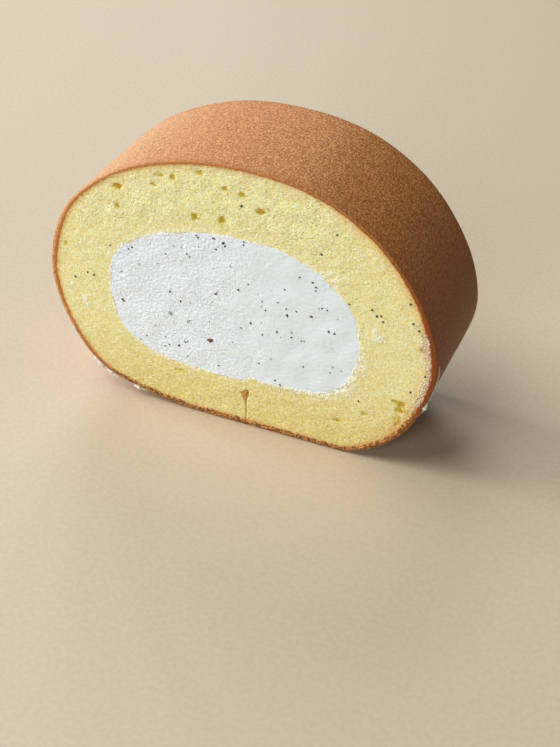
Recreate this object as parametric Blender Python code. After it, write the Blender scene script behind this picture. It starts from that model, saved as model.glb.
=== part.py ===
"""Slice of a Swiss roll: one sheet of sponge cake wrapped once round a thick core of vanilla cream.

The slice stands on its flat base, as it is served. X runs along its width, +Y from the front cut to
the back cut, and +Z up. The origin is at the middle of the base. Lengths are in metres.
"""

import bmesh
import bpy
from mathutils import Vector

MM = 0.001

WIDTH = 100 * MM  # across the front cut
DEPTH = 33 * MM  # from the front cut to the back cut
BACK_SWELL = 1.012  # how much larger the soft roll is at the back cut than at the front one
STEPS = 12  # facets between two neighbouring points of an outline
SHARP_EDGE = 0.6  # radians; the rounded skin stays under this, the cut edges and the slit pass it
CREAM_GAP = 0.3 * MM  # clearance all round the cream

SEAM_X = 2.5 * MM  # where the two ends of the rolled sheet meet, under the cream
SEAM_WIDTH = 0.4 * MM
POCKET_LOW = 6.5 * MM  # the pocket that the sheet's first end leaves in the seam
POCKET_HIGH = 10.8 * MM
POCKET_DEPTH = 1.7 * MM

# Points that the outside of the sheet passes through, as (x, z) in millimetres: from the right end of
# the flat base, up the right flank, over the crown, and down to the left end of the base.
BASE_RIGHT = (27, 0)
BASE_LEFT = (-9, 0)
SKIN_POINTS = (
    BASE_RIGHT,
    (35.5, 3),
    (43.5, 10.5),
    (48.5, 21.5),
    (50, 32),
    (46, 46),
    (35, 61),
    (20, 70),
    (3, 72.8),
    (-14, 71),
    (-33, 62.3),
    (-45, 51),
    (-50, 35),
    (-47, 20.5),
    (-38, 7),
    (-25, 2),
    BASE_LEFT,
)

# The inside of the sheet, against the cream: round from the seam's second end to its first end, which
# lies a little lower.
HOLLOW_POINTS = (
    (SEAM_X / MM, 15),
    (14, 15),
    (23.5, 16.8),
    (29.5, 22.5),
    (31.4, 32),
    (29, 42),
    (22, 49.5),
    (11, 54),
    (0, 54.8),
    (-14, 53),
    (-27, 48),
    (-33, 42),
    (-34.4, 33),
    (-32, 22.5),
    (-25, 16.5),
    (-12, 14),
    (SEAM_X / MM, 14),
)

SPONGE_COLOUR = (0.86, 0.70, 0.25, 1)
SPONGE_ROUGHNESS = 0.9
CREAM_COLOUR = (0.82, 0.82, 0.80, 1)
CREAM_ROUGHNESS = 0.55


def clear_scene():
    for obj in list(bpy.data.objects):
        bpy.data.objects.remove(obj)


def smooth_run(points):
    """A smooth curve through points given in millimetres, level at both of its ends.

    It is a chain of cubic pieces, one between each two points. A point's speed follows from its two
    neighbours, weighted by the square root of their distance, so that close points don't make it loop.
    """
    stops = [Vector(point) * MM for point in points]
    spans = [(after - before).length ** 0.5 for before, after in zip(stops, stops[1:])]
    slopes = [(after - before) / span for before, after, span in zip(stops, stops[1:], spans)]
    speeds = [
        (first * late + second * early) / (early + late)
        for first, second, early, late in zip(slopes, slopes[1:], spans, spans[1:])
    ]
    speeds = [Vector((slopes[0].length, 0)), *speeds, Vector((slopes[-1].length, 0))]
    run = []
    for index, span in enumerate(spans):
        for step in range(STEPS):
            t = step / STEPS
            run.append(
                stops[index] * (2 * t**3 - 3 * t**2 + 1)
                + speeds[index] * (t**3 - 2 * t**2 + t) * span
                + stops[index + 1] * (3 * t**2 - 2 * t**3)
                + speeds[index + 1] * (t**3 - t**2) * span
            )
    return [*run, stops[-1]]


def fit_width(points):
    """Stretches and shifts an outline along x, so that it is WIDTH wide with x = 0 at its middle."""
    low = min(point.x for point in points)
    high = max(point.x for point in points)
    return [Vector(((point.x - (low + high) / 2) * WIDTH / (high - low), point.y)) for point in points]


def inset(points, distance):
    """A closed outline that runs anticlockwise, moved inwards by distance."""
    moved = []
    for before, point, after in zip([points[-1], *points], points, [*points[1:], points[0]]):
        along = (after - before).normalized()
        moved.append(point + Vector((-along.y, along.x)) * distance)
    return moved


def seam_pocket():
    """The pocket in the first end of the sheet, widest two thirds of the way up."""
    face = SEAM_X - SEAM_WIDTH / 2
    widest = (POCKET_LOW + 2 * POCKET_HIGH) / 3
    return [
        Vector((face, POCKET_LOW)),
        Vector((face - POCKET_DEPTH, widest)),
        Vector((face, POCKET_HIGH)),
    ]


def sheet_outline():
    """The wrapped sheet seen from the front cut: a closed band with a slit at the seam."""
    outside = fit_width(smooth_run(SKIN_POINTS))
    second_top, *inside, first_top = smooth_run(HOLLOW_POINTS)
    first_x = SEAM_X - SEAM_WIDTH / 2
    second_x = SEAM_X + SEAM_WIDTH / 2
    around = [Vector((second_x, 0)), *outside, Vector((first_x, 0))]
    back_round = [Vector((first_x, first_top.y)), *reversed(inside), Vector((second_x, second_top.y))]
    return [*around, *seam_pocket(), *back_round]


def cream_outline():
    return inset(smooth_run(HOLLOW_POINTS), CREAM_GAP)


def plain_material(name, colour, roughness):
    material = bpy.data.materials.new(name)
    material.use_nodes = True
    shader = material.node_tree.nodes["Principled BSDF"]
    shader.inputs["Base Color"].default_value = colour
    shader.inputs["Roughness"].default_value = roughness
    shader.inputs["Metallic"].default_value = 0
    return material


def slice_from(name, outline, material):
    """A solid with this (x, z) outline at the front cut, and a little larger at the back cut."""
    mesh = bmesh.new()
    corners = [mesh.verts.new((point.x, -DEPTH / 2, point.y)) for point in outline]
    front = mesh.faces.new(corners)
    made = bmesh.ops.extrude_face_region(mesh, geom=[front], use_keep_orig=True)["geom"]
    back = [item for item in made if isinstance(item, bmesh.types.BMVert)]
    bmesh.ops.scale(mesh, vec=(BACK_SWELL, 1, BACK_SWELL), verts=back)
    bmesh.ops.translate(mesh, vec=(0, DEPTH, 0), verts=back)
    bmesh.ops.recalc_face_normals(mesh, faces=mesh.faces)
    data = bpy.data.meshes.new(name)
    mesh.to_mesh(data)
    mesh.free()
    data.shade_smooth()
    data.set_sharp_from_angle(angle=SHARP_EDGE)
    data.materials.append(material)
    obj = bpy.data.objects.new(name, data)
    bpy.context.scene.collection.objects.link(obj)
    return obj


def main():
    clear_scene()
    slice_from("sponge", sheet_outline(), plain_material("sponge", SPONGE_COLOUR, SPONGE_ROUGHNESS))
    slice_from("cream", cream_outline(), plain_material("cream", CREAM_COLOUR, CREAM_ROUGHNESS))


main()
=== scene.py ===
import math
import bmesh
import bpy
import numpy as np
from mathutils import Matrix, Vector


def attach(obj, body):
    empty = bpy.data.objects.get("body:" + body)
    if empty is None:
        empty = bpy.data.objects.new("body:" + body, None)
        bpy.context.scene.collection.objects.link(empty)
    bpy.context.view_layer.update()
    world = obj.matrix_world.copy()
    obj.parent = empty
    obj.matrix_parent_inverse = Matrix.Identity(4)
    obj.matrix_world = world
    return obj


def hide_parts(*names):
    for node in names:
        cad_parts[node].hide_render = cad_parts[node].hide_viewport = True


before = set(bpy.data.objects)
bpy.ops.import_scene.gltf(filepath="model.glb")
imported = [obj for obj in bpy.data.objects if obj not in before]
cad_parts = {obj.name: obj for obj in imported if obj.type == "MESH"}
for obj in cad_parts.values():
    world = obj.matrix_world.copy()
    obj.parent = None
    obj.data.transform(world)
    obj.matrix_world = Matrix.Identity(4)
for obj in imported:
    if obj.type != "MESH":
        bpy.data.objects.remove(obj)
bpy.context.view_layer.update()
mm = 0.001

# Settings are in millimetres and degrees. On a cut, u runs to the right of the middle of the
# slice's base and v runs up from it. y runs from the front cut towards the back one.
sheet = {
    "along": 700,  # steps from one end of the rolled sheet to the other
    "across": 56,  # steps from its skin to its cream side
    "inward": (0.3, 0.8, 1.6, 3, 5),  # how deep the rings of its hidden walls lie
    "facing": 10,  # passes that round off the solid's facets
    "slit": 0.05,  # what stays open between the two ends
    "skinCover": 0.4,  # how far the crumb reaches in under the skin
    "ragged": (0.06, 0.2),  # how far its cream side wanders on a cut, and at its lower right
}
# Round the slice, anticlockwise from its right: degrees, how far the sheet stands out of the solid at
# the front cut and at the back one, how thick its skin is on the cuts, how far in its colour fades.
around = (
    (0, 0.35, 0.35, 1.6, 1.0), (10, 0.35, 0.35, 1.4, 0.9), (18, 0.35, 0.35, 0.95, 1.0), (30, 0.35, 0.35, 0.8, 1.1),
    (45, 0.35, 0.35, 0.7, 1.0), (60, 0.35, 0.35, 0.6, 0.75), (90, 0.37, 0.35, 0.6, 0.75), (100, 0.45, 0.45, 0.7, 0.8),
    (110, 0.7, 0.5, 0.8, 0.8), (118, 1.1, 0.6, 0.8, 0.8), (127, 1.5, 0.75, 0.8, 0.8), (135, 1.7, 0.75, 0.75, 0.8),
    (143, 1.6, 0.55, 0.75, 0.8), (152, 1.25, 0.2, 0.8, 0.7), (160, 0.95, 0, 1.0, 0.6), (168, 0.8, 0, 1.25, 0.6),
    (176, 0.75, 0.2, 1.3, 0.6), (186, 0.9, 0.35, 1.2, 0.6), (200, 0.95, 0.35, 1.15, 0.6), (212, 0.7, 0.3, 1.1, 0.7),
    (220, 0.4, 0.2, 1.25, 0.7), (232, 0.05, 0.05, 1.45, 0.6), (250, 0, 0, 1.7, 0.5), (290, 0, 0, 1.6, 0.5),
    (306, 0, 0, 1.4, 0.5), (318, 0, 0, 1.5, 0.8), (330, 0.05, 0.05, 1.65, 1.4), (345, 0.2, 0.2, 1.65, 1.3),
    (353, 0.35, 0.35, 1.65, 1.1),
)


def smoothStep(low, high, values):  # 0 under low, 1 over high, eased
    share = np.clip((np.asarray(values) - low) / (high - low), 0, 1)
    return share * share * (3 - 2 * share)


def lengthOf(line):
    return np.concatenate([[0], np.cumsum(np.linalg.norm(np.diff(line, axis=0), axis=1))])


def sampleLine(points, count, passes=0):  # even steps along an open line, rounded off
    points = np.asarray(points, float)
    length = lengthOf(points)
    even = np.linspace(0, length[-1], count)
    line = np.stack([np.interp(even, length, points[:, axis]) for axis in range(points.shape[1])], axis=1)
    for _ in range(passes):
        line[1:-1] = (line[:-2] + 2 * line[1:-1] + line[2:]) / 4
    return line


def outwardOf(line):  # unit vectors square to a line that runs anticlockwise
    way = np.gradient(line, axis=0)
    way /= np.linalg.norm(way, axis=1, keepdims=True)
    return np.stack([way[:, 1], -way[:, 0]], axis=1)


def turnOf(line):  # the direction of each place round the slice, from 0 to 360
    return np.degrees(np.arctan2(line[:, 1] - 34, line[:, 0])) % 360


def readAround(line, column):  # one column of the table, rounded off along a line round the slice
    table = np.array(around)
    values = np.interp(turnOf(line), table[:, 0], table[:, column], period=360)
    for _ in range(60):
        values[1:-1] = (values[:-2] + 2 * values[1:-1] + values[2:]) / 4
    return values


def cutCorners(node, back):  # the corners of a solid that lie on one of its cuts, and that cut's y
    corners = np.array([corner.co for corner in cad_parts[node].data.vertices]) / mm
    level = corners[:, 1].max() if back else corners[:, 1].min()
    flat = corners[np.abs(corners[:, 1] - level) < 0.01][:, [0, 2]]
    return np.unique(np.round(flat, 3), axis=0), level


def seamPlace():  # where the slit between the sheet's two ends meets the base
    corners = cutCorners("sponge", False)[0]
    base = np.sort(corners[corners[:, 1] < 0.01][:, 0])
    return (base[1] + base[-2]) / 2


class Chart:  # a map of numbers over a flat area
    def __init__(self, low, high, cell, seed):
        self.low = np.array(low, float)
        self.cell = cell
        self.shape = tuple(int(math.ceil((high[axis] - low[axis]) / cell)) + 1 for axis in range(2))
        self.random = np.random.default_rng(seed)
        self.values = np.zeros(self.shape)
        self.u = low[0] + cell * np.arange(self.shape[0])[:, None]
        self.v = low[1] + cell * np.arange(self.shape[1])[None, :]

    def noise(self, shortest, longest, drawn=1.0, turn=0.0):  # waves between two lengths
        waves = np.fft.rfft2(self.random.standard_normal(self.shape))
        across = np.fft.fftfreq(self.shape[0], self.cell)[:, None]
        up = np.fft.rfftfreq(self.shape[1], self.cell)[None, :]
        turn = math.radians(turn)
        along = (across * math.cos(turn) + up * math.sin(turn)) * drawn
        aside = up * math.cos(turn) - across * math.sin(turn)
        rate = np.hypot(along, aside)
        keep = np.exp(-((rate * shortest) ** 4)) * (1 - np.exp(-((rate * longest) ** 4)))
        field = np.fft.irfft2(waves * keep, self.shape)
        return field / field.std()

    def dent(self, place, long, wide, depth, turn, soft=2.0):  # presses one rounded hollow in
        reach = max(long, wide)
        first = np.maximum(((place - reach - self.low) / self.cell).astype(int), 0)
        last = ((place + reach - self.low) / self.cell).astype(int) + 2
        part = (slice(first[0], last[0]), slice(first[1], last[1]))
        du = self.u[part[0]] - place[0]
        dv = self.v[:, part[1]] - place[1]
        along = (du * math.cos(turn) + dv * math.sin(turn)) / long
        aside = (dv * math.cos(turn) - du * math.sin(turn)) / wide
        bowl = depth * np.clip(1 - (along**2 + aside**2) ** (soft / 2), 0, 1) ** 0.5
        self.values[part] = np.maximum(self.values[part], bowl)

    def read(self, u, v):  # between the map's cells
        x = np.clip((u - self.low[0]) / self.cell, 0, self.shape[0] - 1.001)
        y = np.clip((v - self.low[1]) / self.cell, 0, self.shape[1] - 1.001)
        i, j = np.asarray(x).astype(int), np.asarray(y).astype(int)
        x, y = x - i, y - j
        near = self.values[i, j] * (1 - x) + self.values[i + 1, j] * x
        far = self.values[i, j + 1] * (1 - x) + self.values[i + 1, j + 1] * x
        return near * (1 - y) + far * y


class Cut:  # one cut face of the slice: its lines, its level along y and, later, its relief
    def __init__(self, back, seam):
        self.back = back
        self.way = 1 if back else -1
        self.seam = seam
        self.gap = sheet["slit"] / 2
        corners, self.level = cutCorners("sponge", back)
        self.skinLine = self.outside(corners)
        self.creamLine = self.inside(cutCorners("cream", back)[0])

    def outside(self, corners):  # from the slit round to the slit again, anticlockwise
        turns = np.linspace(-math.pi / 2, 1.5 * math.pi, 2000)[1:-1]
        far = [int(np.argmax(corners @ (math.cos(turn), math.sin(turn)))) for turn in turns]
        order = list(dict.fromkeys(far))
        line = np.vstack([[self.seam + self.gap, 0], corners[order], [self.seam - self.gap, 0]])
        line = sampleLine(line, sheet["along"], sheet["facing"])
        return line + outwardOf(line) * readAround(line, 1 + self.back)[:, None]

    def inside(self, corners):  # the cream's line, in the same sense
        middle = (corners[:, 1].min() + corners[:, 1].max()) / 2
        atSeam = (np.abs(corners[:, 0] - self.seam) < 0.3) & (corners[:, 1] < middle)
        step, rest = corners[atSeam], corners[~atSeam]
        turns = np.arctan2(rest[:, 1] - middle, rest[:, 0] - self.seam)
        rest = rest[np.argsort((turns + math.pi / 2) % (2 * math.pi))]
        first = [self.seam + self.gap, step[:, 1].max()]
        last = [self.seam - self.gap, step[:, 1].min()]
        return sampleLine(np.vstack([first, rest, last]), 4 * sheet["along"], sheet["facing"])

    def net(self):  # places across the cut sheet, and its thickness all along
        along = np.linspace(0, 1, len(self.creamLine))
        near = []
        for place, own in zip(self.skinLine, np.linspace(0, 1, sheet["along"])):
            away = np.hypot(*(self.creamLine - place).T) + 60 * np.abs(along - own)
            near.append(along[np.argmin(away)])
        near = np.maximum.accumulate(near)
        near[0], near[-1] = 0, 1
        for _ in range(200):
            near[1:-1] = (near[:-2] + near[1:-1] + near[2:]) / 3
        inner = np.stack([np.interp(near, along, self.creamLine[:, axis]) for axis in range(2)], axis=1)
        span = inner - self.skinLine
        thick = np.linalg.norm(span, axis=1, keepdims=True)
        outer = self.skinLine + span / thick * sheet["skinCover"]
        wander = np.random.default_rng(17 + self.back).standard_normal(sheet["along"])
        wander = sum(np.convolve(wander, np.hanning(wide), "same") * 0.45 for wide in (9, 25))
        away = lengthOf(inner)
        rugged = smoothStep(-6, 8, inner[:, 0] * -self.way) * (1 - smoothStep(22, 32, inner[:, 1]))
        even, more = sheet["ragged"]
        wander *= smoothStep(0, 2, away) * smoothStep(0, 2, away[-1] - away) * (even + (more - even) * rugged)
        inner = inner - span / thick * wander[:, None]
        share = np.linspace(0, 1, sheet["across"])[None, :, None]
        return outer[:, None] + (inner - outer)[:, None] * share, thick[:, 0]

    def place(self, u, v, height):  # height is measured out of the cut
        return np.stack(np.broadcast_arrays(u, self.level + self.way * height, v), axis=-1)

    def facing(self, turn):  # the axes of a thing that lies turned on the cut, as columns
        side, up = math.cos(turn), math.sin(turn)
        return np.array([[side, -up, 0], [0, 0, self.way], [up, side, 0]])


class Shell:  # two cut faces as nets of quads, and the wall that joins their rims
    def __init__(self, shape, depth, inward):
        n, m = shape
        self.count = n * m
        self.index = np.arange(n * m).reshape(n, m)
        sides = [self.index[:, 0], self.index[-1, 1:], self.index[-2::-1, -1], self.index[0, -2:0:-1]]
        self.rim = np.concatenate(sides)
        stations = np.array([*inward, depth / 2, *(depth - deep for deep in reversed(inward))])
        self.shares = stations / depth
        walls = np.repeat(stations, len(self.rim))
        self.deep = np.concatenate([np.zeros(n * m), np.full(n * m, depth), walls])
        inner = [2 * n * m + len(self.rim) * k + np.arange(len(self.rim)) for k in range(len(stations))]
        self.rings = [self.rim, *inner, self.rim + n * m]

    def over(self, front, rear):  # numbers of both faces, carried across the wall
        one, two = front.reshape(self.count, -1), rear.reshape(self.count, -1)
        walls = [one[self.rim] * (1 - share) + two[self.rim] * share for share in self.shares]
        return np.vstack([one, two, *walls])

    def faces(self):
        index = self.index
        net = np.stack([index[:-1, :-1], index[1:, :-1], index[1:, 1:], index[:-1, 1:]], axis=-1)
        parts = [net.reshape(-1, 4), net.reshape(-1, 4) + self.count]
        for one, two in zip(self.rings, self.rings[1:]):
            parts.append(np.stack([one, np.roll(one, -1), np.roll(two, -1), two], axis=-1))
        return np.vstack(parts)

    def layout(self, front, rear):  # a flat place for each face corner: the cuts, and the wall beside them
        low = np.minimum(front.min((0, 1)), rear.min((0, 1))) - 0.5
        size = np.maximum(front.max((0, 1)), rear.max((0, 1))) - low + 0.5
        flat = np.vstack([front.reshape(-1, 2) - low, rear.reshape(-1, 2) - low + (0, size[1])])
        cutFaces = self.faces()[: 2 * (self.index.shape[0] - 1) * (self.index.shape[1] - 1)]
        room = max(2 * size[1] - size[0], 8)
        steps = len(self.rings) - 1
        first = np.arange(len(self.rim)) / len(self.rim)
        last = first + 1 / len(self.rim)
        places = [flat[cutFaces.ravel()]]
        for k in range(steps):
            quad = [(first, k), (last, k), (last, k + 0.95), (first, k + 0.95)]
            wall = np.stack([np.stack(np.broadcast_arrays(*corner), -1) for corner in quad], axis=1)
            places.append(wall.reshape(-1, 2) * (room * 0.95, 2 * size[1] / steps) + (size[0] + room * 0.03, 0))
        return np.vstack(places) / max(2 * size[1], size[0] + room)


def makePiece(name, corners, faces, paint, values, layout=None):
    mesh = bpy.data.meshes.new(name)
    mesh.from_pydata((np.asarray(corners) * mm).tolist(), [], faces)
    mesh.materials.append(paint.material)
    for key, numbers in values.items():
        numbers = np.asarray(numbers, float)
        kind, field = ("FLOAT_VECTOR", "vector") if numbers.ndim == 2 else ("FLOAT", "value")
        mesh.attributes.new(key, kind, "POINT").data.foreach_set(field, numbers.ravel())
    if layout is not None:
        mesh.uv_layers.new(name="OFBake").data.foreach_set("uv", np.asarray(layout).ravel())
    work = bmesh.new()
    work.from_mesh(mesh)
    bmesh.ops.recalc_face_normals(work, faces=work.faces)
    work.to_mesh(mesh)
    work.free()
    mesh.shade_smooth()
    piece = bpy.data.objects.new(name, mesh)
    bpy.context.scene.collection.objects.link(piece)
    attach(piece, "root")
    return piece


class Wire:  # one output of a node; arithmetic on it adds Math nodes
    def __init__(self, paint, socket):
        self.paint = paint
        self.socket = socket

    def math(self, operation, one, two=0.0):
        return self.paint.node("Math", {"operation": operation}, {0: one, 1: two})

    def __add__(self, other):
        return self.math("ADD", self, other)

    def __radd__(self, other):
        return self.math("ADD", other, self)

    def __sub__(self, other):
        return self.math("SUBTRACT", self, other)

    def __rsub__(self, other):
        return self.math("SUBTRACT", other, self)

    def __mul__(self, other):
        return self.math("MULTIPLY", self, other)

    def __rmul__(self, other):
        return self.math("MULTIPLY", other, self)

    def between(self, low, high):  # 0 under low, 1 over high, eased
        sockets = {"Value": self, "From Min": low, "From Max": high}
        return self.paint.node("MapRange", {"interpolation_type": "SMOOTHSTEP"}, sockets)


def tint(red, green, blue):  # a colour as a screen names it, from 0 to 255
    shares = [part / 255 for part in (red, green, blue)]
    return (*[part / 12.92 if part <= 0.04045 else ((part + 0.055) / 1.055) ** 2.4 for part in shares], 1)


class Paint:  # one material
    def __init__(self, name, **constants):
        self.material = bpy.data.materials.new(name)
        self.material.use_nodes = True
        self.tree = self.material.node_tree
        self.shader = self.tree.nodes["Principled BSDF"]
        for key, value in constants.items():
            self.shader.inputs[key.replace("_", " ")].default_value = value
        self.place = self.node("TexCoord", output="Object")

    def node(self, kind, settings=None, sockets=None, output=0):
        made = self.tree.nodes.new("ShaderNode" + kind)
        for key, value in (settings or {}).items():
            setattr(made, key, value)
        for key, value in (sockets or {}).items():
            if isinstance(value, Wire):
                self.tree.links.new(value.socket, made.inputs[key])
            else:
                made.inputs[key].default_value = value
        return Wire(self, made.outputs[output])

    def feed(self, name, wire):
        self.tree.links.new(wire.socket, self.shader.inputs[name])

    def value(self, name):  # a number that the mesh keeps for each of its corners
        return self.node("Attribute", {"attribute_name": name}, output="Fac")

    def rolled(self, along, across=1.0):  # places along and across the rolled sheet, drawn out
        places = self.node("Attribute", {"attribute_name": "rolled"}, output="Vector")
        return self.node("VectorMath", {"operation": "MULTIPLY"}, {0: places, 1: (1 / along, 1 / across, 1)})

    def mix(self, share, one, two):
        return self.node("Mix", {"data_type": "RGBA"}, {0: share, 6: one, 7: two}, output=2)

    def noise(self, size, detail=2.0, roughness=0.5, place=None):  # size in millimetres
        sockets = {"Vector": place or self.place, "Scale": 1 / (size * mm), "Detail": detail}
        sockets["Roughness"] = roughness
        return self.node("TexNoise", None, sockets)

    def cells(self, size, place=None):  # how far each place is from its cell's middle
        sockets = {"Vector": place or self.place, "Scale": 1 / (size * mm)}
        return self.node("TexVoronoi", None, sockets)

    def bump(self, height, distance, strength=1.0):  # distance in millimetres
        sockets = {"Height": height, "Distance": distance * mm, "Strength": strength}
        return self.node("Bump", None, sockets)


creamLook = {
    "white": tint(237, 245, 247),
    "shade": tint(228, 234, 236),
    "windowLitWhite": tint(248, 253, 255),  # painted cool window light: where it's pebbly, at the left, the cream is lighter and bluer
    "windowLitShade": tint(236, 246, 255),
    "rubbed": tint(255, 249, 214),  # cream that is smeared on crumb
    "pink": tint(228, 196, 172),  # cream that is smeared on the skin
}
crumb = {
    "seed": 11,
    "bubbles": 1.0,  # for each square millimetre
    "radius": 0.24,
    "spread": 0.34,
    "smallest": 0.16,
    "largest": 0.55,
    "depth": 0.5,  # of a bubble, as a share of its radius
    "longer": 1.3,  # a bubble is drawn out along the sheet
    "rough": 0.045,
    "uneven": 0.05,
    "compact": 5.0,  # the crumb is pressed finer this near the cream
    "open": (28, 55),  # it opens up between these heights
    "ridge": 0.2,  # the height of the creamy band at the lower right of the cream
    "baked": 0.75,  # how much of the skin's colour the crumb beside it has
}
# The larger holes of the front cut: u, v, length, height, depth.
holes = (
    (-30.6, 61.3, 2.2, 1.2, 0.8), (5.8, 63.3, 1.8, 1.5, 0.9), (-10.7, 58.0, 1.8, 1.5, 0.6),
    (-3.7, 58.5, 1.3, 1.6, 0.6), (1.2, 66.4, 1.5, 0.9, 0.6), (-2.9, 67.1, 1.1, 1.2, 0.5),
    (-16.0, 67.1, 1.1, 1.3, 0.5), (-19.6, 66.8, 2.2, 0.5, 0.4), (-21.0, 64.0, 2.0, 0.5, 0.4),
    (-9.3, 69.7, 1.2, 1.1, 0.4), (42.4, 18.6, 2.1, 2.3, 0.0), (42.6, 19.3, 1.5, 1.5, 0.7),
    (41.3, 19.9, 1.8, 0.6, 0.45), (42.8, 17.3, 1.0, 0.9, 0.6), (44.3, 17.5, 0.7, 0.8, 0.4), (41.6, 17.2, 0.7, 1.0, 0.5),
    (41.9, 14.8, 1.2, 1.8, 0.0), (-16.0, 11.8, 2.6, 0.6, 0.35), (26.9, 9.4, 1.8, 0.6, 0.35),
    (33.8, 13.7, 1.6, 0.7, 0.4), (-31.0, 56.0, 1.1, 1.2, 0.4), (46.5, 36.5, 1.0, 1.2, 0.5),
    (-11.0, 14.2, 1.4, 0.5, 0.3), (41.7, 13.0, 0.8, 1.2, 0.4), (-46.3, 42.0, 0.9, 1.0, 0.3),
)
# Cream that the knife left on the crumb: u, v, length, height, turn.
smudges = (
    (35.8, 36.9, 1.4, 1.1, 20),
    (34.9, 38.4, 0.8, 1.2, -20),
    (24.7, 49.8, 1.6, 0.7, 25),
    (23.2, 51.0, 1.0, 0.5, 40),
    (-42.1, 26.8, 0.8, 1.1, 10),
    (-41.5, 24.9, 0.4, 0.7, 0),
    (-45.4, 30.3, 0.4, 0.9, 0),
)
# Where each side of the slit gapes: from, widening, widest, to, how far it moves.
pocket = {
    "left": (0.8, 4.6, 9.9, 11.3, 1.65),
    "right": (1.6, 6.4, 10.4, 11.7, 0.75),
    "slack": 0.1,  # how far it stays open under its wide part, as a share
    "reach": 4.0,
    "deep": 2.6,
}


def crumbPaint():
    look = {
        "litPale": tint(255, 248, 186),
        "yellow": tint(246, 226, 142),
        "mottleAndPoreShade": tint(243, 225, 138),
        "shadedLowMottle": tint(231, 210, 122),
        "glint": tint(255, 252, 208),
        "dense": tint(240, 225, 166),
        "golden": tint(214, 186, 50),
        "hollow": tint(214, 170, 38),
        "amber": tint(222, 148, 66),
        "brown": tint(250, 204, 116),
    }
    paint = Paint("crumb", Roughness=0.85, Subsurface_Weight=0.12, Subsurface_Scale=0.0006, IOR=1.36)
    paint.shader.inputs["Subsurface Radius"].default_value = (1.0, 0.75, 0.3)
    paint.shader.inputs["Specular IOR Level"].default_value = 0.25
    height = paint.node("SeparateXYZ", None, {0: paint.place}, output="Z")
    pressed = paint.value("pressed")
    fresh = 1 - pressed * 0.55
    fine = paint.noise(0.58, 3.0, 0.6)
    drawn = paint.noise(0.55, 2.0, 0.5, paint.rolled(1.3))
    pores = 1 - (paint.cells(0.8, paint.rolled(1.3)) + drawn * 0.35).between(0.24, 0.52)
    # painted light: higher up, the crumb is mixed paler and its mottle lighter, as if lit more from above; its glints
    # are stronger there too
    high = height.between(0.006, 0.026)
    colour = paint.mix(high, look["yellow"], look["litPale"])
    colour = paint.mix(paint.noise(2.4, 2.0).between(0.38, 0.62) * 0.35 + pressed * 0.5, colour, look["dense"])
    # the crumb's own mottle, in part painted shade: darker in the pores and low spots of the bump below
    dark = (1 - fine.between(0.36, 0.56)) * 0.65 + (1 - drawn.between(0.3, 0.5)) * 0.3 + pores * 0.35
    mottleAndPoreShade = paint.mix(high, look["shadedLowMottle"], look["mottleAndPoreShade"])
    colour = paint.mix(dark * fresh + (1 - fresh) * 0.65, colour, mottleAndPoreShade)
    colour = paint.mix(fine.between(0.5, 0.68) * (high * 0.5 + 0.4), colour, look["glint"])
    stain = (paint.value("stain") + fine * 0.8 - 0.4).between(0.1, 0.7) * 0.85
    colour = paint.mix(stain, colour, look["golden"])
    # painted shade in the holes: the deeper they are, the more of the darker golden colour
    colour = paint.mix(paint.value("holeShade").between(0.2, 0.9), colour, look["hollow"])
    colour = paint.mix(paint.value("baked") * (fine * 1.2 + 0.4), colour, look["amber"])
    colour = paint.mix(paint.value("pocket"), colour, look["brown"])
    rubbed = (paint.value("creamy") + paint.noise(0.9, 2.0) * 2 - 1).between(0.15, 0.65)
    colour = paint.mix(rubbed, colour, creamLook["rubbed"])
    paint.feed("Base Color", colour)
    paint.feed("Normal", paint.bump((fine + drawn * 0.6 - pores * 0.5) * fresh, 0.32, 1.0))
    return paint


def crumbCharts(cut, net):  # over one cut: pores, holes, their colour, smeared cream, and lumps
    low, high = net.min((0, 1)) - 1, net.max((0, 1)) + 1
    fine = Chart(low, high, 0.14, crumb["seed"] + cut.back)
    middle = net.mean((0, 1))
    count = int(crumb["bubbles"] * np.prod(high - low))
    places = low + fine.random.random((count, 2)) * (high - low)
    radii = np.exp(fine.random.standard_normal(count) * crumb["spread"]) * crumb["radius"]
    radii = np.clip(radii, crumb["smallest"], crumb["largest"])
    tilts = fine.random.standard_normal(count) * 0.4
    depths = fine.random.uniform(0.35, 1, count) * crumb["depth"] * radii
    longer = crumb["longer"] ** 0.5
    for place, radius, tilt, depth in zip(places, radii, tilts, depths):
        away = place - middle
        turn = math.atan2(away[1], away[0]) + math.pi / 2 + tilt
        fine.dent(place, radius * longer, radius / longer, depth, turn)
    fine.values += crumb["rough"] * fine.noise(0.35, 1.0) + crumb["uneven"] * fine.noise(4, 14)

    hollow = Chart(low, high, 0.14, crumb["seed"] + 7 + cut.back)
    stain = Chart(low, high, 0.2, 0)
    smear = Chart(low, high, 0.2, crumb["seed"] + 21 + cut.back)
    flip = -cut.way
    for u, v, long, tall, depth in holes:
        place = np.array((u * flip, v))
        if cut.back:
            place = net[hollow.random.integers(sheet["along"]), hollow.random.integers(6, sheet["across"] - 6)]
        stain.dent(place, long * 0.8, tall * 0.9, 1.0, 0)
        for _ in range(6):
            push = hollow.random.standard_normal(2) * (long, tall) * 0.16
            size = hollow.random.uniform(0.3, 0.5)
            turn = hollow.random.standard_normal() * 0.6
            deep = depth * hollow.random.uniform(0.5, 0.9)
            hollow.dent(place + push, long * size, tall * size, deep, turn, 3.0)
    for u, v, long, tall, turn in smudges:
        smear.dent(np.array((u * flip, v)), long, tall, 1.0, math.radians(turn * flip))
    stain.values *= np.clip(0.75 + 0.4 * stain.noise(0.7, 2.6), 0, 1.4)
    lumps = Chart(low, high, 0.2, crumb["seed"] + 33 + cut.back)
    lumps.values = lumps.noise(0.7, 2.4)
    return fine, hollow, stain, smear, lumps


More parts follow.
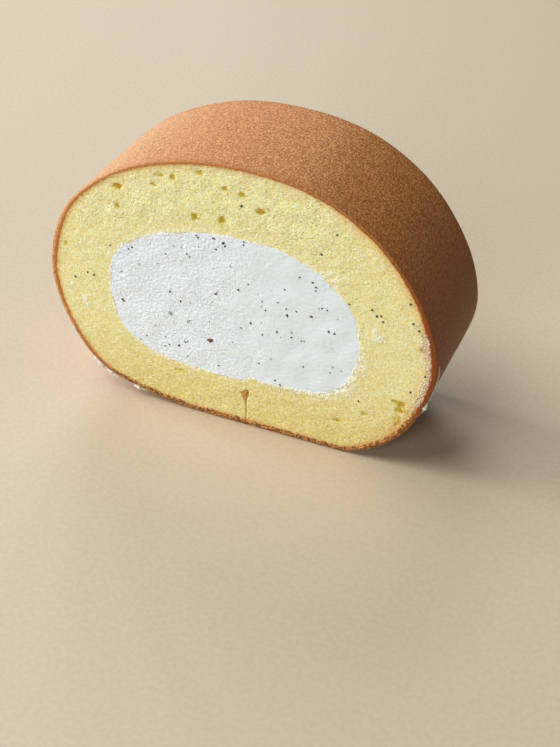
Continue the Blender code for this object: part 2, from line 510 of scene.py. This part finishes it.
def pocketGape(u, v, seam):  # how far a place is moved off the slit, below 0 to the left
    gape = 0
    for side, way in (("left", -1), ("right", 1)):
        low, narrow, widest, high, wide = pocket[side]
        gap = pocket["slack"] + (1 - pocket["slack"]) * smoothStep(narrow, widest, v) ** 2.2
        gap = gap * smoothStep(low, low + 1.5, v) * (1 - smoothStep(widest, high, v)) ** 0.7
        gap = gap * (1 + 0.14 * np.sin(v * 4.1 + way)) * (1 - smoothStep(0, pocket["reach"], np.abs(seam - u)))
        gape = gape + way * wide * gap * (way * (u - seam) > 0)
    return gape


def makeSponge(paint, cuts):
    sides = []
    for cut in cuts:
        net, thick = cut.net()
        fine, hollow, stain, smear, lumps = crumbCharts(cut, net)
        u, v = net[..., 0], net[..., 1]
        across = u * -cut.way  # the same way round on both cuts, as one looks at them
        share = np.linspace(0, 1, sheet["across"])[None, :]
        fromSkin = share * (thick[:, None] - sheet["skinCover"]) + sheet["skinCover"]
        fromCream = (1 - share) * thick[:, None]
        pressed = 1 - smoothStep(0.5, crumb["compact"], fromCream)
        pressed = np.maximum(pressed, 0.7 * smoothStep(18, 34, across) * smoothStep(10, 20, v))
        pressed = np.maximum(pressed, 0.55 * smoothStep(24, 40, -across) * (1 - smoothStep(48, 60, v)))
        opened = (0.62 + 0.38 * smoothStep(*crumb["open"], v)) * (1 - 0.5 * pressed)
        opened = opened * (0.35 + 0.65 * smoothStep(0, 1.5, fromCream))
        pore = fine.read(u, v) * opened
        hole = hollow.read(u, v)
        lump = lumps.read(u, v)
        reach = 1.6 + 2.8 * smoothStep(8, 28, across)
        band = smoothStep(-4, 5, across) * (1 - smoothStep(26, 42, v)) * (1 - smoothStep(0, reach, fromCream))
        rim = smoothStep(17, 25, v) * (1 - smoothStep(36, 47, v)) * (1 - smoothStep(1.9, 3.3, fromSkin))
        fringe = 0.5 * np.clip(1 - fromCream / 2.2, 0, 1)
        parts = [band * (0.62 + 0.16 * lump), rim * (across > 0) * 0.4, fringe, smear.read(u, v)]
        creamy = np.maximum.reduce(parts)
        raised = 0.1 * creamy * smoothStep(0, 0.7, fromCream)
        raised += crumb["ridge"] * band * np.clip(0.5 + 0.6 * lump, 0, 1.6) * smoothStep(0, 0.5, fromCream)
        wave = np.sin(u * 3.1) * np.sin(v * 2.3) * 0.25
        skinThick, fade = (readAround(cut.skinLine, column)[:, None] for column in (3, 4))
        baked = crumb["baked"] * np.exp(-np.maximum(fromSkin + wave - skinThick, 0) / fade)
        along = np.broadcast_to(lengthOf(cut.skinLine)[:, None], u.shape)
        tucked = 0.3 * (1 - smoothStep(0.5, 0.95, fromSkin / skinThick))  # under the skin
        sides.append({
            "place": cut.place(u, v, raised - pore - hole - 0.03 - tucked),
            # painted shade in the holes and the deeper pores
            "holeShade": np.clip(hole * 1.7 + (pore - 0.12) * 0.6, 0, 1),
            "stain": stain.read(u, v),
            "pressed": pressed,
            "baked": baked,
            "creamy": creamy,
            "rolled": np.stack([along, fromSkin, np.full_like(u, cut.level)], -1) * mm,
            "net": net,
        })
        cut.pores = fine
    front, rear = sides
    shell = Shell(front["net"].shape[:2], cuts[1].level - cuts[0].level, sheet["inward"])
    places = shell.over(front["place"], rear["place"])
    gape = pocketGape(places[:, 0], places[:, 2], seam)
    places[:, 0] += gape * np.clip(1 - shell.deep / pocket["deep"], 0, 1)
    values = {key: shell.over(front[key], rear[key])[:, 0] for key in ("holeShade", "stain", "pressed", "baked", "creamy")}
    values["rolled"] = shell.over(front["rolled"], rear["rolled"])
    values["pocket"] = smoothStep(0.1, 0.5, np.abs(gape)) * (shell.deep > 0.2) * (shell.deep < 9)
    layout = shell.layout(front["net"], rear["net"])
    piece = makePiece("sponge_crumb", places, shell.faces().tolist(), paint, values, layout)
    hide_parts("sponge")


cream = {
    "wide": 220,  # quads across the cut
    "tall": 140,
    "lap": 1.1,  # how far it reaches into the sponge
    "sunk": 0.42,  # how deep its rim lies there
    "proud": 0.02,
    "pebbles": 0.052,
    "streaks": 0.024,
    "streakTurn": 18,
    "uneven": 0.05,
    "seed": 23,
}


def creamPaint():
    paint = Paint("cream", Roughness=0.5, Subsurface_Weight=0.15, Subsurface_Scale=0.001, IOR=1.4)
    paint.shader.inputs["Subsurface Radius"].default_value = (1.0, 0.95, 0.85)
    fine = paint.noise(0.7, 2.0, 0.6)
    patches = paint.noise(7.0, 2.0)
    pebblyAndWindowLit = paint.value("pebblyAndWindowLit")
    # painted shade in the pebbles' low spots, where the bump below is low, and paler and darker patches at random
    shade = (1 - fine.between(0.34, 0.6)) * pebblyAndWindowLit * 0.7 + patches.between(0.45, 0.7) * 0.2
    # painted window light: the pebbly left part is mixed to lighter, bluer whites
    white = paint.mix(pebblyAndWindowLit, creamLook["white"], creamLook["windowLitWhite"])
    paint.feed("Base Color", paint.mix(shade, white, paint.mix(pebblyAndWindowLit, creamLook["shade"], creamLook["windowLitShade"])))
    paint.feed("Normal", paint.bump(fine * pebblyAndWindowLit, 0.4, 1.0))
    return paint


def filledNet(ring, wide, tall):  # an even net of quads inside a closed line, from its lower left corner
    bottom, right = ring[: wide + 1], ring[wide : wide + tall + 1]
    top = ring[wide + tall : 2 * wide + tall + 1][::-1]
    left = np.vstack([ring[2 * wide + tall :], ring[:1]])[::-1]
    s = np.linspace(0, 1, wide + 1)[:, None, None]
    t = np.linspace(0, 1, tall + 1)[None, :, None]
    sides = (1 - t) * bottom[:, None] + t * top[:, None] + (1 - s) * left[None] + s * right[None]
    ends = (1 - s) * ((1 - t) * bottom[0] + t * top[0]) + s * ((1 - t) * bottom[-1] + t * top[-1])
    return sides - ends


def creamRing(cut):  # the cream's rim, moved out into the sponge
    count = 2 * (cream["wide"] + cream["tall"])
    line = sampleLine(cut.creamLine, 1000)
    line = np.roll(line, int(len(line) * cream["wide"] / count / 2), axis=0)
    ring = sampleLine(np.vstack([line, line[:1]]), count + 1)[:-1]
    for _ in range(sheet["facing"]):
        ring = (np.roll(ring, 1, 0) + 2 * ring + np.roll(ring, -1, 0)) / 4
    way = np.roll(ring, -1, 0) - np.roll(ring, 1, 0)
    way /= np.linalg.norm(way, axis=1, keepdims=True)
    return ring + np.stack([way[:, 1], -way[:, 0]], axis=1) * cream["lap"]


def makeCream(paint, cuts):
    nets, faces, pebblyAndWindowLit = [], [], []
    for cut in cuts:
        ring = creamRing(cut)
        net = filledNet(ring, cream["wide"], cream["tall"])
        chart = Chart(net.min((0, 1)) - 1, net.max((0, 1)) + 1, 0.15, cream["seed"] + cut.back)
        left = (1 - smoothStep(-10, 12, chart.u * -cut.way)) * (0.6 + 0.4 * smoothStep(22, 38, chart.v))
        pebbles = chart.noise(0.36, 1.8) * cream["pebbles"]
        streaks = chart.noise(0.4, 1.6, 4.5, cream["streakTurn"] * -cut.way) * cream["streaks"]
        chart.values = pebbles * (0.25 + 0.75 * left) + streaks * 0.8
        chart.values += cream["uneven"] * chart.noise(6, 25) + cream["proud"]
        u, v = net[..., 0], net[..., 1]
        rim = np.min([np.hypot(u - place[0], v - place[1]) for place in ring[::2]], axis=0)
        fall = (1 - smoothStep(0, cream["lap"] * 0.9, rim)) * cream["sunk"]
        nets.append(net)
        # where the cream is pebbly, and where its colour is painted lighter and bluer, as lit by the window
        pebblyAndWindowLit.append((0.08 + 0.92 * (1 - smoothStep(-12, 16, u * -cut.way)))[..., None])
        faces.append(cut.place(u, v, chart.read(u, v) - fall))
        cut.creamTop = chart
    shell = Shell(nets[0].shape[:2], cuts[1].level - cuts[0].level, (1.5, 5, 11))
    layout = shell.layout(*nets)
    values = {"pebblyAndWindowLit": shell.over(*pebblyAndWindowLit)[:, 0]}
    piece = makePiece("cream_core", shell.over(*faces), shell.faces().tolist(), paint, values, layout)
    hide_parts("cream")


skin = {
    "rounding": 0.42,
    "bulge": 0.8,  # how far it stands out at the left, beside the cuts
    "rows": 40,
    "fine": 0.018,
    "wavy": 0.02,
    "ragged": 0.11,
    "crumbly": 0.25,  # the ragged edge under the slice
    "proud": 0.1,
    "seed": 31,
}


def skinPaint():
    look = {
        "tan": tint(232, 161, 90),
        "brown": tint(152, 84, 28),
        "litPale": tint(230, 194, 152),
        "litFawn": tint(192, 132, 78),
        # deep: the painted shade colour of the skin that faces right
        "deep": tint(138, 62, 16),
        "line": tint(216, 142, 66),
        "dark": tint(164, 96, 40),
        "crust": tint(216, 148, 74),
        "burnt": tint(120, 72, 32),
    }
    paint = Paint("skin", Roughness=0.6, IOR=1.35, Sheen_Weight=0.1, Sheen_Roughness=0.35)
    fine = paint.noise(0.48, 3.0, 0.6)
    specks = paint.cells(0.68).between(0.2, 0.62)
    streaks = paint.noise(0.7, 2.0, 0.5, paint.rolled(5.0))
    patches = paint.noise(14.0, 2.0)
    shade = fine.between(0.38, 0.6) * 0.48 + specks * 0.37 + streaks.between(0.35, 0.65) * 0.1 + patches * 0.05
    colour = paint.mix(shade, look["tan"], look["brown"])
    # painted window light: where the skin faces left it is mixed to paler, lighter tones
    colour = paint.mix(paint.value("litFromLeft"), colour, paint.mix(shade, look["litPale"], look["litFawn"]))
    under = paint.value("underneath")
    inner = paint.value("inner").between(0.1, 1.0)
    line = paint.mix(inner + paint.noise(0.9, 2.0) * 0.8 - 0.4, look["dark"], look["line"])
    base = paint.mix(paint.noise(0.6, 3.0, 0.6).between(0.38, 0.56), look["crust"], look["burnt"])
    # painted shade: where the skin faces right, it and its cut line are darkened toward deep
    shadeOnRight = paint.value("shadeOnRight")
    line = paint.mix(under, paint.mix(shadeOnRight * 1.3, line, look["deep"]), base)
    colour = paint.mix(paint.value("edge"), paint.mix(shadeOnRight, colour, look["deep"]), line)
    rubbed = (paint.value("creamy") + paint.noise(1.1, 3.0) * 1.6 - 1.05).between(0.1, 0.7)
    colour = paint.mix(rubbed, colour, creamLook["pink"])
    paint.feed("Base Color", colour)
    paint.feed("Normal", paint.bump(fine * 0.6 + streaks * 0.3 - specks * 0.4, 0.13, 0.9))
    return paint


def skinSection(depth):  # the band's outline: its part, how far from the front cut, how deep under the outside
    turns = np.linspace(0, math.pi / 2, 5)
    corner = [(skin["rounding"] * (1 - math.sin(a)), skin["rounding"] * (1 - math.cos(a))) for a in turns]
    rows = np.linspace(depth - skin["rounding"], skin["rounding"], skin["rows"])[1:-1]
    shares = (0.25, 0.5, 0.75, 1.0)
    section = [("out", y, 0) for y in rows]
    section += [("corner", y, deep) for y, deep in corner]
    section += [("face", 0, share) for share in shares]
    section += [("in", y, 1.0) for y in (0.5, 2, depth / 2, depth - 2, depth - 0.5)]
    section += [("face", depth, share) for share in reversed(shares)]
    section += [("corner", depth - y, deep) for y, deep in reversed(corner)]
    return section


def skinLayout(section, length, lanes=3):  # the band laid flat in a few lanes, and its two ends beside them
    steps = []
    for one, two in zip(section, section[1:] + section[:1]):
        hidden = one[0] == "in" or two[0] == "in"
        steps.append(math.hypot(one[1] - two[1], one[2] - two[2]) * (0.1 if hidden else 1))
    across = np.concatenate([[0], np.cumsum(steps)])
    count = len(length) - 1
    lane = np.arange(count) * lanes // count
    start = np.array([length[np.argmax(lane == number)] for number in range(lanes)])[lane]
    lane = lane * (across[-1] + 1)
    near, far = length[:-1] - start, length[1:] - start
    quad = [(near, across[:-1]), (far, across[:-1]), (far, across[1:]), (near, across[1:])]
    corners = []
    for along, side in quad:
        corners.append(np.stack(np.broadcast_arrays(along[:, None], side[None] + lane[:, None]), -1))
    flat = np.stack(corners, axis=2).reshape(-1, 2)
    high = lanes * (across[-1] + 1)
    ends = [np.array([(y * 0.1 + shift, deep + high) for _, y, deep in section]) for shift in (0, 5)]
    return np.vstack([flat, *ends]) / (max(high + 2, far.max()) + 0.5)


def makeSkin(paint, cuts):
    lines = [cut.skinLine for cut in cuts]
    count = len(lines[0])
    outward = outwardOf(lines[0])
    length = lengthOf(lines[0])
    depth = cuts[1].level - cuts[0].level
    chart = Chart((0, 0), (length[-1], depth), 0.2, skin["seed"])
    chart.values = skin["fine"] * chart.noise(0.5, 1.2) + skin["wavy"] * chart.noise(5, 25)
    ragged = Chart((0, 0), (length[-1], 4), 0.2, skin["seed"] + 1)
    ragged.values = ragged.noise(0.7, 3.0)
    u, v = lines[0].T
    under = 1 - smoothStep(2, 11, v)
    lower = smoothStep(26, 34, u) * (1 - smoothStep(10, 20, v))
    right = smoothStep(13, 22, v) * (1 - smoothStep(38, 47, v)) * (u > 0)
    thick = readAround(lines[0], 3)
    turn = turnOf(lines[0])
    light = smoothStep(150, 172, turn) * (1 - smoothStep(200, 215, turn))  # where its rim is left pale, painted as lit by the window
    bulge = skin["bulge"] * smoothStep(144, 168, turn) * (1 - smoothStep(204, 228, turn))
    roughness = skin["ragged"] + (skin["crumbly"] - skin["ragged"]) * np.maximum.reduce([under, lower, right])
    lean = np.degrees(np.arctan2(outward[:, 0], outward[:, 1]))  # 0 where the skin faces up
    along = {
        "underneath": np.maximum(under * (1 - 0.1 * lower), 0.9 * lower),
        # painted window light on the skin that faces left
        "litFromLeft": (1 - smoothStep(-42, -2, lean)) * (0.4 + 0.3 * smoothStep(-85, -55, lean)),
        # painted shade on the skin that faces right
        "shadeOnRight": smoothStep(35, 75, lean) * 0.6,
    }
    places, values = [], {key: [] for key in ("edge", "inner", "creamy", "rolled", *along)}
    section = skinSection(depth)
    for kind, y, deep in section:
        share = y / depth
        line = lines[0] * (1 - share) + lines[1] * share
        atFront = y < depth / 2
        out, sunk = 0, np.full(count, deep)
        if kind == "face":
            rag = ragged.read(length, np.full(count, 1.0 if atFront else 3.0)) * roughness
            out = (skin["proud"] + 0.5 * np.abs(rag)) * math.sin(deep * math.pi)
            sunk = skin["rounding"] + deep * (thick - skin["rounding"]) + rag * (deep > 0.7)
        elif kind == "in":
            sunk = thick
        lift = chart.read(length, np.full(count, y)) * (1.0 if kind == "out" else 0.5)
        if kind == "out":
            lift = lift + bulge * smoothStep(0, 1.2, min(y, depth - y))
        elif kind == "corner":
            lift = lift + bulge * 0.45 * (1 - deep / skin["rounding"])
        place = line - outward * (sunk - lift)[:, None]
        far = cuts[0].level + y + (-out if atFront else out)
        places.append(np.stack([place[:, 0], np.broadcast_to(far, count), np.maximum(place[:, 1], 0)], axis=1))
        rim = 0.3 * (1 - smoothStep(0.6, 2.6, min(y, depth - y)))
        edge = {"out": rim, "corner": max(rim, smoothStep(0.1, 0.42, deep))}.get(kind, 1.0)
        values["edge"].append(edge * (1 - light * (kind in ("out", "corner"))))
        values["inner"].append(np.full(count, deep * (kind == "face")))
        values["creamy"].append(right * 0.75 * smoothStep(0.1, 0.9, deep) * (kind == "face") * (1 if atFront else 0.4))
        for key, numbers in along.items():
            values[key].append(numbers)
        values["rolled"].append(np.stack([length, np.full(count, deep), np.full(count, y)], -1) * mm)
    across = len(section)
    index = np.arange(count * across).reshape(count, across)
    turn = np.roll(index, -1, 1)
    quads = np.stack([index[:-1], index[1:], turn[1:], turn[:-1]], axis=-1).reshape(-1, 4)
    faces = quads.tolist() + [index[0].tolist(), index[-1].tolist()]
    corners = np.stack(places, axis=1).reshape(-1, 3)
    numbers = {key: np.stack(parts, axis=1).reshape(count * across, -1) for key, parts in values.items()}
    numbers = {key: part[:, 0] if part.shape[1] == 1 else part for key, part in numbers.items()}
    piece = makePiece("sponge_skin", corners, faces, paint, numbers, skinLayout(section, length))
    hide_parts("sponge")


def ballShape(detail):
    work = bmesh.new()
    bmesh.ops.create_icosphere(work, subdivisions=detail, radius=1)
    corners = np.array([corner.co for corner in work.verts])
    faces = np.array([[corner.index for corner in face.verts] for face in work.faces])
    work.free()
    return corners, faces


def makeBits(name, bits, paint, rough, seed, detail=2):  # many small lumps as one piece
    ball, sides = ballShape(detail)
    random = np.random.default_rng(seed)
    corners, faces, tones = [], [], []
    for number, (place, axes, size, tone) in enumerate(bits):
        lump = ball * (1 + rough * random.standard_normal((len(ball), 1)))
        corners.append(lump * size @ axes.T + place)
        faces.append(sides + number * len(ball))
        tones.append(np.full(len(ball), tone))
    return makePiece(name, np.vstack(corners), np.vstack(faces).tolist(), paint, {"tone": np.concatenate(tones)})


seeds = {"seed": 41, "strewn": 18, "back": 90, "small": 0.25, "large": 0.36}
# Where the seeds gather on the front cut: u, v, how far they scatter, how many.
seedGroups = (
    (-10, 53, 0.6, 2), (-6, 53.5, 0.5, 2), (-3.5, 52.5, 0.7, 3), (-5.5, 50.5, 0.2, 1), (1.7, 53.8, 0.9, 2),
    (-28.3, 44.5, 1.0, 2), (-18.5, 46, 0.2, 1), (-12.5, 47.3, 1.0, 2), (-4.6, 38.2, 1.3, 2), (0.5, 41, 0.2, 1),
    (3, 43, 0.2, 1), (12, 44, 0.2, 1), (16, 48.5, 0.2, 1), (19.5, 46.8, 1.4, 3), (28.3, 44.3, 0.2, 1),
    (-17.6, 35, 0.9, 2), (-15, 33, 0.2, 1), (-12.6, 28, 0.8, 2), (-7.5, 29.5, 0.2, 1), (1, 30, 0.2, 1),
    (6.5, 39, 0.2, 1), (10.5, 39.5, 0.2, 1), (12.8, 38.7, 0.2, 1), (15.4, 38.7, 0.2, 1), (7.5, 37, 0.2, 1),
    (22.6, 41.5, 1.9, 2), (24.4, 35.7, 1.1, 2), (3.5, 32, 0.2, 1), (6.5, 29.5, 0.2, 1), (10.5, 31.5, 0.2, 1),
    (14.2, 30.6, 0.2, 1), (16.7, 30.6, 0.2, 1), (-25.4, 19.8, 1.0, 2), (-19.5, 18.6, 1.1, 2), (-16, 19.8, 0.2, 1),
    (-13.8, 21.5, 0.5, 3), (-13.5, 17, 0.2, 1), (-5, 16.7, 0.2, 1), (6, 20.5, 0.2, 1), (17.3, 23, 0.2, 1),
    (24.3, 23, 0.2, 1), (10.2, 16.4, 1.5, 2),
)
# Seeds in the crumb, and the few large flecks in the cream: u, v, length, width, turn, tone.
crumbSeeds = (
    (1.2, 63.7), (24.4, 61.8), (20.9, 55.8), (33.8, 44.3), (35.0, 42.8), (36.0, 43.1), (36.6, 41.7),
    (42.7, 48.3), (43.8, 43.3), (45.3, 41.7), (47.8, 29.4), (44.6, 23.8), (32.0, 17.2),
    (-44.4, 32.7), (-40.7, 34.9), (-38.9, 34.6), (-33.8, 44.4),
)
flecks = (
    (-7.1, 23.7, 0.85, 0.74, 30, 0.9), (-8.0, 23.6, 0.4, 0.3, 80, -0.4), (19.0, 38.2, 0.6, 0.42, 10, 0.85),
    (-31.2, 29.1, 0.75, 0.4, -50, 0.62), (13.0, 36.9, 0.5, 0.44, 0, 0.2), (-18.0, 28.9, 0.75, 0.55, -40, -0.7),
    (14.2, 32.3, 0.45, 0.4, 0, -0.8), (25.0, 25.3, 0.4, 0.36, 0, -0.8), (27.2, 24.7, 0.36, 0.3, 0, -0.7),
    (-16.4, 48.6, 0.3, 0.26, 0, -0.6), (-31.0, 37.7, 0.4, 0.28, 40, -0.6), (-26.0, 41.0, 0.3, 0.28, 0, -0.7),
    (-22.4, 23.9, 0.32, 0.28, 0, -0.6), (9.0, 23.0, 0.34, 0.28, 0, -0.7), (-12.4, 33.4, 0.3, 0.26, 0, -0.6),
)


def seedPaint():  # tone: sunk in cream under 0, black, brown near 1
    paint = Paint("vanilla_seed", Roughness=0.45, IOR=1.45)
    fine = paint.noise(0.2, 2.0)
    tone = paint.value("tone")
    dark = paint.mix(fine, tint(40, 37, 38), tint(72, 65, 62))
    dark = paint.mix(tone.between(-1.0, 0.0), tint(176, 178, 176), dark)
    brown = paint.mix(fine.between(0.4, 0.6), tint(134, 78, 56), tint(92, 50, 40))
    paint.feed("Base Color", paint.mix(tone.between(0.45, 0.85), dark, brown))
    paint.feed("Normal", paint.bump(fine, 0.03, 0.5))
    return paint


def makeSeeds(paint, cuts):
    random = np.random.default_rng(seeds["seed"])
    bits = []

    def lay(cut, u, v, long, wide, turn, tone, sink):
        onCrumb = tone is None
        level = -cut.pores.read(u, v) if onCrumb else cut.creamTop.read(u, v)
        size = np.array([long, wide, min(long, wide) * 0.7])
        place = cut.place(u, v, level - size[2] * sink)
        bits.append((place, cut.facing(turn), size, 0.3 if onCrumb else tone))

    def scatter(cut, u, v, tone=0.2, scale=1.0):
        long = random.uniform(seeds["small"], seeds["large"]) * scale
        wide = long * random.uniform(0.6, 0.95)
        sink = -0.3 if tone is None else random.uniform(0, 0.4)
        lay(cut, u, v, long, wide, random.uniform(0, math.pi), tone, sink)

    front, rear = cuts
    for u, v, spread, count in seedGroups:
        for _ in range(count):
            du, dv = random.standard_normal(2) * spread * 0.6
            scatter(front, u + du, v + dv)
    for u, v, long, wide, turn, tone in flecks:
        lay(front, u, v, long, wide, math.radians(turn), tone, 0.5)
    for u, v in crumbSeeds:
        scatter(front, u, v, None, 0.95)
    for cut, count in ((front, seeds["strewn"]), (rear, seeds["back"])):
        low, high = cut.creamLine.min(0), cut.creamLine.max(0)
        for _ in range(count):
            turn, far = random.uniform(0, 2 * math.pi), 0.9 * random.uniform(0, 1) ** 0.5
            u, v = (low + high) / 2 + (high - low) / 2 * far * (math.cos(turn), math.sin(turn))
            tone, scale = (0.2, 1.0) if cut.back else (random.choice([-0.6, 0.1]), 0.75)
            if cut.back and random.random() < 0.06:
                tone, scale = random.choice([-0.7, 0.9]), 2.0
            scatter(cut, u, v, tone, scale)
    piece = makeBits("vanilla_seeds", bits, paint, 0.1, seeds["seed"])


# Cream that came off on the skin beside the front cut: width, height, then u, v, y of each place.
smears = (
    (0.5, 0.75, (-40.6, 9.2, 0.2), (-38.2, 7.0, 0.3), (-33.8, 3.9, 0.2)),
    (0.55, 0.5, (-29.6, 2.6, 0.1), (-28.0, 2.2, 0.2), (-26.2, 2.0, 0.1)),
    (0.22, 0.2, (49.7, 32.0, 1.8), (49.6, 28.0, 2.6), (48.8, 22.5, 2.5), (46.8, 15.8, 1.5)),
    (0.5, 0.4, (48.8, 21.6, 0.6), (48.0, 18.6, 0.5)),
    (0.35, 0.4, (-45.6, 17.6, 0.2), (-44.8, 15.8, 0.2)),
)


def smearPaint():
    paint = Paint("smeared_cream", Roughness=0.5, Subsurface_Weight=0.3, Subsurface_Scale=0.001, IOR=1.4)
    fine = paint.noise(0.4, 2.0)
    paint.feed("Base Color", paint.mix(fine.between(0.3, 0.7), tint(240, 234, 224), tint(226, 208, 188)))
    paint.feed("Normal", paint.bump(fine, 0.08, 0.6))
    return paint


def makeSmears(paint, cuts):
    front, rear = cuts
    random = np.random.default_rng(53)
    outward = outwardOf(front.skinLine)
    depth = rear.level - front.level
    corners, faces, sides = [], [], 10
    for width, height, *path in smears:
        path = sampleLine(path, 25, 6)
        near = [int(np.argmin(np.hypot(*(front.skinLine - place[:2]).T))) for place in path]
        share = path[:, 2:] / depth
        flat = front.skinLine[near] * (1 - share) + rear.skinLine[near] * share
        out = np.stack([outward[near, 0], np.zeros(len(near)), outward[near, 1]], axis=1)
        middle = np.stack([flat[:, 0], front.level + path[:, 2], flat[:, 1]], axis=1) + out * height * 0.4
        way = np.gradient(middle, axis=0)
        side = np.cross(way, out)
        side /= np.linalg.norm(side, axis=1, keepdims=True)
        taper = np.sin(np.linspace(0.12, math.pi - 0.12, len(path))) ** 0.6
        lumps = random.standard_normal(8)
        taper = taper * (1 + 0.22 * np.interp(np.linspace(0, 7, len(path)), np.arange(8), lumps))
        start = sum(len(part) for part in corners)
        for angle in np.arange(sides) * 2 * math.pi / sides:
            reach = side * math.cos(angle) * width + out * math.sin(angle) * height
            corners.append(middle + reach * taper[:, None])
        index = start + np.arange(sides * len(path)).reshape(sides, len(path))
        turn = np.roll(index, -1, 0)
        quads = np.stack([index[:, :-1], index[:, 1:], turn[:, 1:], turn[:, :-1]], axis=-1)
        faces += quads.reshape(-1, 4).tolist() + [index[:, 0].tolist(), index[:, -1].tolist()]
    places = np.vstack(corners)
    places[:, 2] = np.maximum(places[:, 2], 0.02)
    piece = makePiece("cream_smears", places, faces, paint, {})


loose = {"seed": 61, "rim": 90, "band": 300, "pink": 260, "small": 0.09, "large": 0.22}


def loosePaint():
    paint = Paint("loose_crumb", Roughness=0.85, IOR=1.36)
    fine = paint.noise(0.25, 2.0)
    tone = paint.value("tone")
    colour = paint.mix(tone.between(0.0, 0.3), tint(252, 248, 232), tint(248, 238, 190))
    colour = paint.mix(tone.between(0.3, 0.6), colour, tint(222, 190, 116))
    colour = paint.mix(tone.between(0.6, 0.9), colour, tint(150, 88, 38))
    colour = paint.mix(tone.between(1.2, 1.6), colour, tint(230, 202, 184))
    paint.feed("Base Color", colour)
    paint.feed("Normal", paint.bump(fine, 0.06, 0.8))
    return paint


def makeLoose(paint, cuts):
    random = np.random.default_rng(loose["seed"])
    bits = []

    def drop(cut, line, likely, count, shift, tones, flat=0.7, scale=1.0):
        outward = outwardOf(line)
        for spot in random.choice(len(line), count, p=likely / likely.sum()):
            place = line[spot] + outward[spot] * shift()
            size = random.uniform(loose["small"], loose["large"], 3) * scale
            size[2] *= flat
            place[1] = max(place[1], size.max() * 1.3)
            axes = cut.facing(random.uniform(0, math.pi))
            bits.append((cut.place(*place, 0.07), axes, size, random.choice(tones)))

    for cut in cuts:
        line = cut.skinLine
        across, v = line[:, 0] * -cut.way, line[:, 1]
        likely = (1 - smoothStep(3, 9, v)) * 0.6 + smoothStep(24, 34, across) * (1 - smoothStep(14, 24, v))
        drop(cut, line, likely, loose["rim"], lambda: random.uniform(-1.7, -0.3), (0.5, 0.6, 0.7, 0.8, 0.9))
        likely = (across > 0) * smoothStep(14, 22, v) * (1 - smoothStep(36, 46, v))
        drop(cut, line, likely, loose["pink"], lambda: random.uniform(-3.0, -1.5), (0.2, 0.4, 0.5, 1.5, 1.5, 1.5), 0.4, 1.25)
        line = cut.creamLine
        across, v = line[:, 0] * -cut.way, line[:, 1]
        likely = 0.06 + (v < 34) * smoothStep(0, 18, across) * (1 - smoothStep(27, 34, v))
        drop(cut, line, likely, loose["band"], lambda: abs(random.normal(0, 0.9)) - 0.2, (0, 0.1, 0.2, 0.3), 0.7, 1.1)
    for u, v, long, tall, turn in smudges:
        turn = math.radians(turn)
        for _ in range(int(9 * (long * tall) ** 0.5)):
            du, dv = random.standard_normal(2) * (long, tall) * 0.4
            place = (u + du * math.cos(turn) - dv * math.sin(turn), v + du * math.sin(turn) + dv * math.cos(turn))
            size = random.uniform(loose["small"], loose["large"], 3) * (1.5, 1.5, 0.6)
            bits.append((cuts[0].place(*place, 0.0), cuts[0].facing(random.uniform(0, 3)), size, 0.1))
    piece = makeBits("loose_crumbs", bits, paint, 0.22, loose["seed"])


view = {"turn": 21.75, "tilt": 37.3, "roll": 1.3, "away": 318.3, "lens": 62.65, "aim": (11.5, 19.2)}
light = {"away": 2.0, "size": 1.1}
# Soft lamps round the slice: name, turn, tilt, watts, colour.
lamps = (
    ("window", -85, 27, 37.5, (0.9, 0.995, 1.11)),
    ("back_wall", -150, 35, 14.5, (0.92, 0.99, 1.09)),
    ("ceiling", -50, 64, 17.2, (0.96, 1.01, 1.07)),
    ("front_wall", 0, 28, 16.8, (0.96, 1.0, 1.05)),
)


def turned(turn, tilt):  # unit direction from the object: turn 0 is straight in front, tilt is upwards
    turn, tilt = math.radians(turn), math.radians(tilt)
    return Vector((math.sin(turn) * math.cos(tilt), -math.cos(turn) * math.cos(tilt), math.sin(tilt)))


def makeStage(cut):
    aim = Vector((view["aim"][0] * mm, cut.level * mm, view["aim"][1] * mm))
    camera = bpy.data.objects.new("camera", bpy.data.cameras.new("camera"))
    camera.data.lens = view["lens"]
    camera.data.clip_start = 0.01
    camera.location = aim + turned(view["turn"], view["tilt"]) * view["away"] * mm
    facing = (aim - camera.location).to_track_quat("-Z", "Y").to_matrix()
    facing = (facing @ Matrix.Rotation(math.radians(view["roll"]), 3, "Z")).to_4x4()
    camera.matrix_world = Matrix.Translation(camera.location) @ facing
    bpy.context.scene.collection.objects.link(camera)
    bpy.context.scene.camera = camera

    floorPaint = Paint("floor", Roughness=0.6)
    grain = floorPaint.noise(1.2, 3.0).between(0.3, 0.7)
    floorPaint.feed("Base Color", floorPaint.mix(grain, tint(199, 177, 146), tint(205, 183, 151)))
    bpy.ops.mesh.primitive_plane_add(size=6)
    floor = bpy.context.object
    floor.name = "floor"
    floor.data.materials.append(floorPaint.material)

    for name, turn, tilt, watts, colour in lamps:
        lamp = bpy.data.objects.new(name, bpy.data.lights.new(name, "AREA"))
        lamp.data.shape = "DISK"
        lamp.data.size = light["size"]
        lamp.data.energy = watts
        lamp.data.color = colour
        lamp.location = turned(turn, tilt) * light["away"]
        lamp.rotation_euler = (-lamp.location).to_track_quat("-Z", "Y").to_euler()
        bpy.context.scene.collection.objects.link(lamp)
    world = bpy.data.worlds.new("room")
    world.use_nodes = True
    world.node_tree.nodes["Background"].inputs["Strength"].default_value = 0.0
    bpy.context.scene.world = world
    bpy.context.scene.view_settings.view_transform = "Standard"


seam = seamPlace()
cuts = [Cut(back, seam) for back in (False, True)]
makeStage(cuts[0])
print("stage: done")
makeSponge(crumbPaint(), cuts)
makeSkin(skinPaint(), cuts)
print("sponge: done")
makeCream(creamPaint(), cuts)
makeSeeds(seedPaint(), cuts)
makeSmears(smearPaint(), cuts)
print("cream: done")
makeLoose(loosePaint(), cuts)
print("crumbs: done")
